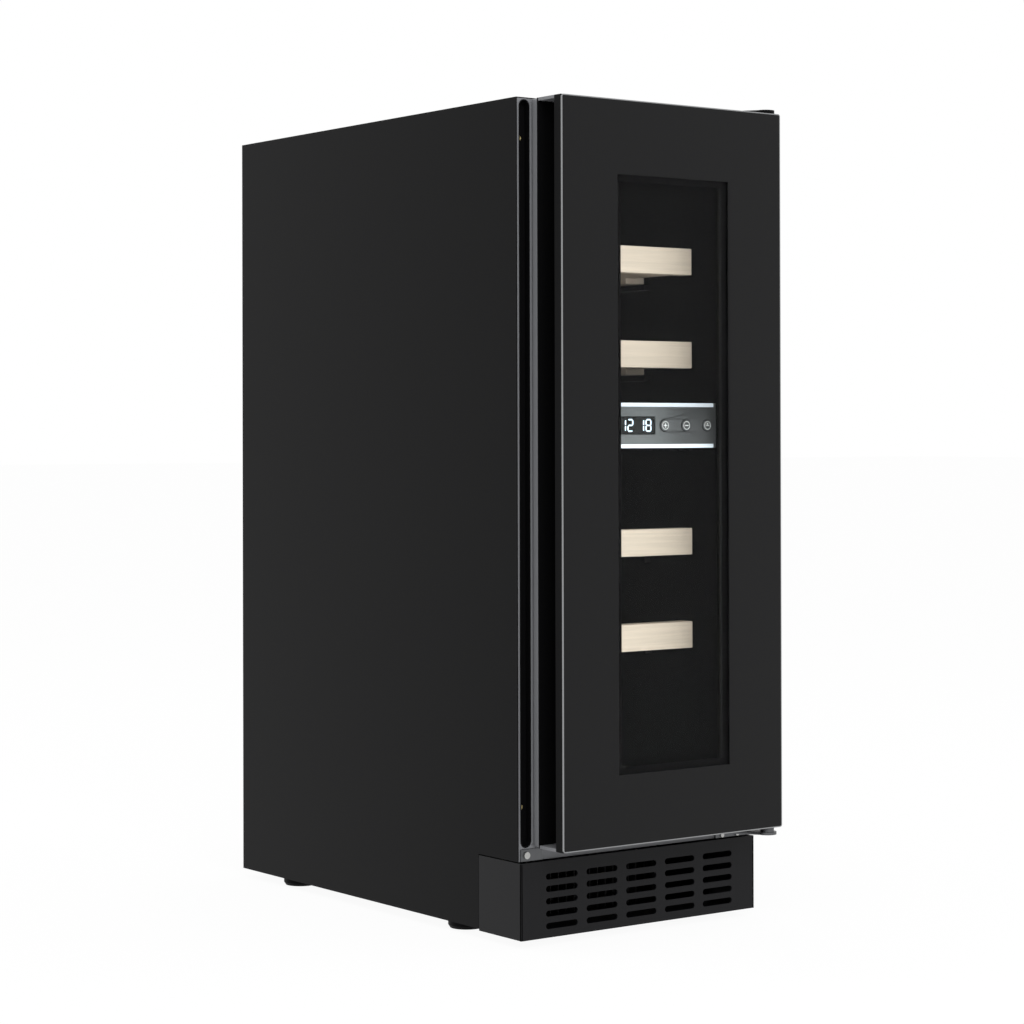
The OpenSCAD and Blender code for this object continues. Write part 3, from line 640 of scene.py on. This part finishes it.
@dataclass
class Door:
    """The door: front plate with a bright edge, glass, rear frame and gasket."""

    corner: float = 0.0025
    bright_edge: float = 0.0011
    border: float = 0.006
    window_reveal: float = 0.0002
    lip: float = 0.01
    pane_lap: float = 0.012
    pane_thickness: float = 0.003
    rebate: float = 0.005

    def __post_init__(self) -> None:
        """Reads the door's outlines from the construction nodes."""
        self.face = outline_of("door_front_plate", Plane.FRONT, self.corner)
        self.lapped = outline_of("window_pane", Plane.FRONT, 0.001)
        self.window = self.lapped.inset(self.pane_lap)
        self.sight = outline_of("inner_panes", Plane.FRONT, 0.002)

    def front(self) -> None:
        """Builds the plate round the window, and the polished strip round the plate."""
        low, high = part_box("door_front_plate")
        body = self.face.inset(self.bright_edge)
        plate = Shell().add_frame(
            Plane.FRONT, body, self.window.inset(-self.window_reveal), low.y, high.y, 0.0005
        )
        piece = plate.build("front_plate", "door", DOOR_PLATE.material(), "door_plate")
        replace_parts(piece, "door_front_plate")
        strip = Shell().add_frame(
            Plane.FRONT, self.face, body.inset(0.00005), low.y + 0.0003, high.y, 0.0003
        )
        strip.build("front_plate_edge", "door", EDGE_STEEL.material(), "bare_steel")

    def front_glass(self) -> None:
        """Builds the stepped window pane and the border printed on its back."""
        low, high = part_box("window_pane")
        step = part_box("door_front_plate")[1].y
        loops = [
            (self.window.inset(0.0004), low.y),
            (self.window, low.y + 0.0004),
            (self.window, step),
            (self.lapped, step + 0.00005),
            (self.lapped, high.y),
        ]
        pane = Shell().add_grid(np.stack([Plane.FRONT.place(o.points(), d) for o, d in loops]))
        piece = pane.build("front_pane", "door", FRONT_GLASS.material(), "tinted_glass")
        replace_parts(piece, "window_pane")
        border = Shell().add_frame(
            Plane.FRONT,
            self.lapped.inset(0.0002),
            self.window.inset(self.border),
            high.y + 0.0001,
            high.y + 0.0004,
            0.0001,
        )
        border.build("window_border", "door", PRINT.material(), "door_dark")

    def sealed_glass(self) -> None:
        """Builds the two inner panes, and a see-through dark rim behind the first of them, painted shade
        for the darker strip seen through the window's side.
        """
        low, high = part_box("inner_panes")
        panes, shade_rim = Shell(), Shell()
        for near in (low.y, high.y - self.pane_thickness):
            panes.add_slab(Plane.FRONT, self.sight, near, near + self.pane_thickness)
        depth = low.y + self.pane_thickness + 0.0001
        shade_rim.add_frame(
            Plane.FRONT,
            self.sight.inset(0.0002),
            self.window.inset(self.border - 0.001),
            depth,
            depth + 0.0002,
            0.00005,
        )
        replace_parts(panes.build("sealed_panes", "door", GLASS.material(), "clear_glass"), "inner_panes")
        shade_rim.build("pane_shade_rims", "door", SHADE_BAND.material(), "clear_glass")

    def rear(self) -> None:
        """Builds the rear frame, and the gasket with its bellows fold and sealing lip."""
        low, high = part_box("door_rear_frame")
        opening = self.sight.inset(self.rebate)
        rear = Shell().add_frame(Plane.FRONT, self.face, opening, low.y, high.y, 0.0008)
        piece = rear.build("rear_frame", "door", FRAME_GREY.material(), "frame_grey")
        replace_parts(piece, "door_rear_frame")
        low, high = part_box("door_gasket")
        outer = outline_of("door_gasket", Plane.FRONT, 0.004)
        gasket = Shell().add_frame(
            Plane.FRONT, outer, outer.inset(self.lip), low.y, high.y - 0.0022, 0.0008
        )
        gasket.add_frame(
            Plane.FRONT, outer.inset(0.0015), outer.inset(0.0085), high.y - 0.0032, high.y, 0.0015
        )
        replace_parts(gasket.build("gasket", "door", RUBBER.material(), "rubber_grey"), "door_gasket")


class Segment(Enum):
    """The bars of a seven-bar figure: middle of the bar, and whether it lies flat."""

    TOP = (0.5, 1.0, True)
    MIDDLE = (0.5, 0.5, True)
    BOTTOM = (0.5, 0.0, True)
    UPPER_LEFT = (0.0, 0.75, False)
    UPPER_RIGHT = (1.0, 0.75, False)
    LOWER_LEFT = (0.0, 0.25, False)
    LOWER_RIGHT = (1.0, 0.25, False)


FIGURES: dict[int, tuple[Segment, ...]] = {
    1: (Segment.UPPER_RIGHT, Segment.LOWER_RIGHT),
    2: (Segment.TOP, Segment.UPPER_RIGHT, Segment.MIDDLE, Segment.LOWER_LEFT, Segment.BOTTOM),
    8: tuple(Segment),
}


@dataclass
class ControlPanel:
    """The lit figures, and the marks on the buttons."""

    figure_width: float = 0.006
    figure_height: float = 0.0115
    figure_pitch: float = 0.0092
    bar: float = 0.0013
    mark: float = 0.0008
    mark_half: float = 0.0024
    mark_ring: float = 0.0042
    cap_radius: float = 0.0062
    reading_starts: tuple[float, float] = (0.0055, 0.0285)

    def figures(self) -> None:
        """Builds two readings of two figures, each from flat bars that stand off the lens."""
        low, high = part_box("display_lens")
        base = (low.z + high.z - self.figure_height) / 2
        shell = Shell()
        for offset, numbers in zip(self.reading_starts, ((1, 2), (1, 8))):
            start = low.x + offset
            for place, number in enumerate(numbers):
                left = start + place * self.figure_pitch
                for segment in FIGURES[number]:
                    across, up, flat = segment.value
                    x = left + across * self.figure_width
                    z = base + up * self.figure_height
                    half_x = self.figure_width / 2 - self.bar / 2 if flat else self.bar / 2
                    half_z = self.bar / 2 if flat else self.figure_height / 4 - self.bar / 2
                    bar = Outline(x - half_x, x + half_x, z - half_z, z + half_z, 0.0003)
                    shell.add_slab(Plane.FRONT, bar, low.y - 0.00015, low.y + 0.0001, 0.00005)
        shell.build("display_figures", "cabinet", DIGITS.material(), "lamp_white")

    def marks(self) -> None:
        """Builds each button with a dished face, its ring, and its plus, minus, bar or dot; the ring and
        marks carry a faint painted glow.
        """
        half, radius, ring = self.mark_half, self.cap_radius, self.mark_ring
        for name in ("power_button", "lamp_button", "warmer_button", "cooler_button", "zone_button"):
            low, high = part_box(name)
            x, z = (low.x + high.x) / 2, (low.z + high.z) / 2
            profile = np.array(
                [
                    [ring, low.y + 0.0003],
                    [radius - 0.0012, low.y + 0.0001],
                    [radius - 0.0004, low.y],
                    [radius, low.y + 0.0005],
                    [radius, high.y - 0.003],
                    [radius - 0.001, high.y],
                ]
            )
            body = f"{name}_body"
            cap = Shell().add_turned(Plane.FRONT, x, z, profile)
            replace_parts(cap.build(f"{name}_cap", body, BUTTON.material(), "button_silver"), name)
            marks = Shell()
            near, far = low.y + 0.00015, low.y + 0.0005
            marks.add_frame(
                Plane.FRONT,
                circle(x, z, ring),
                circle(x, z, ring - self.mark * 0.6),
                near,
                far,
                0.00005,
            )
            flat = Outline(x - half, x + half, z - self.mark / 2, z + self.mark / 2, 0.0002)
            tall = Outline(x - self.mark / 2, x + self.mark / 2, z - half, z + half, 0.0002)
            chosen = {
                "power_button": (tall,),
                "lamp_button": (circle(x, z, 0.0014),),
                "warmer_button": (flat, tall),
                "cooler_button": (flat,),
                "zone_button": (flat.inset(0.0001), circle(x, z + 0.0017, self.mark)),
            }[name]
            for outline in chosen:
                marks.add_slab(Plane.FRONT, outline, near, far, 0.00005)
            marks.build(f"{name}_mark", body, GLOWING_MARKING.material(), "button_silver")


@dataclass
class Studio:
    """The pale floor, soft lamps, white surround and camera."""

    yaw: float = math.radians(36.876)
    pitch: float = math.radians(0.3205)
    roll: float = math.radians(-0.1457)
    lens: float = 91.85
    sensor: float = 36
    shift: tuple[float, float] = (-0.0365, -0.0891)
    place: tuple[float, float, float] = (-1.624877, -2.256773, 0.491836)
    soft_box: tuple[float, float] = (1.6, 1.6)
    zone_lamp_width: float = 0.19
    zone_lamp_margin: float = 0.02
    zone_lamp_strength: float = 3.4

    def floor(self) -> None:
        """Builds a plain pale floor that goes white to the camera but keeps the shadow."""
        mesh = bpy.data.meshes.new("floor")
        corner = np.array([[-1, -1, 0], [1, -1, 0], [1, 1, 0], [-1, 1, 0]]) * 40.0
        mesh.from_pydata(corner.tolist(), [], [[0, 1, 2, 3]])
        made = bpy.data.materials.new("floor_white")
        made.use_nodes = True
        nodes, links = made.node_tree.nodes, made.node_tree.links
        nodes.clear()
        diffuse, glow = nodes.new("ShaderNodeBsdfDiffuse"), nodes.new("ShaderNodeEmission")
        diffuse.inputs["Color"].default_value = (0.95, 0.95, 0.95, 1)
        blend, seen = nodes.new("ShaderNodeMixShader"), self.seen_directly(nodes, links, 0.94)
        out = nodes.new("ShaderNodeOutputMaterial")
        links.new(seen, blend.inputs[0])
        links.new(diffuse.outputs[0], blend.inputs[1])
        links.new(glow.outputs[0], blend.inputs[2])
        links.new(blend.outputs[0], out.inputs["Surface"])
        mesh.materials.append(made)
        floor = bpy.data.objects.new("floor", mesh)
        bpy.context.scene.collection.objects.link(floor)

    @staticmethod
    def seen_directly(
        nodes: bpy.types.Nodes, links: bpy.types.NodeLinks, share: float
    ) -> bpy.types.NodeSocket:
        """Gives a share where a camera, glossy or transmitted ray looks, and nothing elsewhere.

        Args:
            nodes: The tree's nodes.
            links: The tree's links.
            share: The value for such a ray.

        Returns:
            The socket that holds the value.
        """
        path = nodes.new("ShaderNodeLightPath")
        value = path.outputs["Is Camera Ray"]
        for name in ("Is Glossy Ray", "Is Transmission Ray"):
            larger = nodes.new("ShaderNodeMath")
            larger.operation = "MAXIMUM"
            links.new(value, larger.inputs[0])
            links.new(path.outputs[name], larger.inputs[1])
            value = larger.outputs[0]
        scaled = nodes.new("ShaderNodeMath")
        scaled.operation = "MULTIPLY"
        scaled.inputs[1].default_value = share
        links.new(value, scaled.inputs[0])
        return scaled.outputs[0]

    def surround(self) -> None:
        """Sets a plain light all round, shown as white where it is looked at."""
        world = bpy.data.worlds.new("surround")
        world.use_nodes = True
        nodes, links = world.node_tree.nodes, world.node_tree.links
        nodes.clear()
        plain, white = nodes.new("ShaderNodeBackground"), nodes.new("ShaderNodeBackground")
        plain.inputs["Strength"].default_value = 0.8
        white.inputs["Strength"].default_value = 1.0
        for shade in (plain, white):
            shade.inputs["Color"].default_value = (1, 1, 1, 1)
        blend, out = nodes.new("ShaderNodeMixShader"), nodes.new("ShaderNodeOutputWorld")
        links.new(self.seen_directly(nodes, links, 1.0), blend.inputs[0])
        links.new(plain.outputs[0], blend.inputs[1])
        links.new(white.outputs[0], blend.inputs[2])
        links.new(blend.outputs[0], out.inputs["Surface"])
        bpy.context.scene.world = world

    @staticmethod
    def lamp(
        name: str, place: Vector, aim: Vector, size: tuple[float, float], power: float
    ) -> None:
        """Hangs a soft lamp at a place, turned to face a point and not itself seen.

        Args:
            name: Its name.
            place: Where it hangs.
            aim: What it faces.
            size: Its width and height, in metres.
            power: Its power, in watts.
        """
        light = bpy.data.lights.new(name, "AREA")
        light.shape, light.energy = "RECTANGLE", power
        light.size, light.size_y = size
        lamp = bpy.data.objects.new(name, light)
        lamp.location = place
        lamp.rotation_euler = (aim - place).to_track_quat("-Z", "Y").to_euler()
        lamp.visible_camera = lamp.visible_transmission = lamp.visible_glossy = False
        bpy.context.scene.collection.objects.link(lamp)

    def lamps(self) -> None:
        """Hangs the studio lamps, and one behind the glass of each zone, which the panes shade."""
        middle = (CAD_BOX[0] + CAD_BOX[1]) / 2
        self.lamp("key", Vector((-1.2, -2.6, 2.4)), middle, self.soft_box, 45)
        self.lamp("fill", Vector((2.2, -1.8, 1.6)), middle, self.soft_box, 18)
        self.lamp("back", Vector((-1.6, 2.2, 2.0)), middle, self.soft_box, 14)
        pane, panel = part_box("inner_panes"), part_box("control_housing")
        for name, high, low in (
            ("upper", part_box("liner_top")[0].z, panel[1].z),
            ("lower", panel[1].z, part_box("liner_floor")[0].z),
        ):
            spot = Vector((0, pane[1].y + 0.002, (high + low) / 2))
            size = (self.zone_lamp_width, high - low - self.zone_lamp_margin)
            power = self.zone_lamp_strength * size[0] * size[1]
            self.lamp(f"{name}_zone_lamp", spot, spot + Vector((0, 1, 0)), size, power)

    def camera(self) -> None:
        """Sets the camera from its yaw, pitch and roll."""
        ahead = Vector(
            (
                math.sin(self.yaw) * math.cos(self.pitch),
                math.cos(self.yaw) * math.cos(self.pitch),
                math.sin(self.pitch),
            )
        )
        right = ahead.cross(Vector((0, 0, 1))).normalized()
        up = right.cross(ahead)
        axes = Matrix((right, up, -ahead)).transposed().to_4x4()
        data = bpy.data.cameras.new("camera")
        data.lens, data.sensor_width = self.lens, self.sensor
        data.shift_x, data.shift_y = self.shift
        camera = bpy.data.objects.new("camera", data)
        place = Matrix.Translation(self.place)
        camera.matrix_world = place @ axes @ Matrix.Rotation(self.roll, 4, "Z")
        bpy.context.scene.collection.objects.link(camera)
        bpy.context.scene.camera = camera

    def build(self) -> None:
        """Builds the floor, lamps, surround and camera."""
        self.floor()
        self.surround()
        self.lamps()
        self.camera()
        bpy.context.scene.view_settings.view_transform = "Standard"


def main() -> None:
    """Dresses the construction nodes, builds the finer pieces, and sets the studio."""
    logging.basicConfig(level=logging.INFO, format="%(message)s")
    for dressing in DRESSINGS:
        dressing.apply()
    cabinet = Cabinet()
    cabinet.top()
    cabinet.back()
    Plinth().build()
    door = Door()
    door.front()
    door.front_glass()
    door.sealed_glass()
    door.rear()
    panel = ControlPanel()
    panel.figures()
    panel.marks()
    Studio().build()


if __name__ == "__main__":
    main()
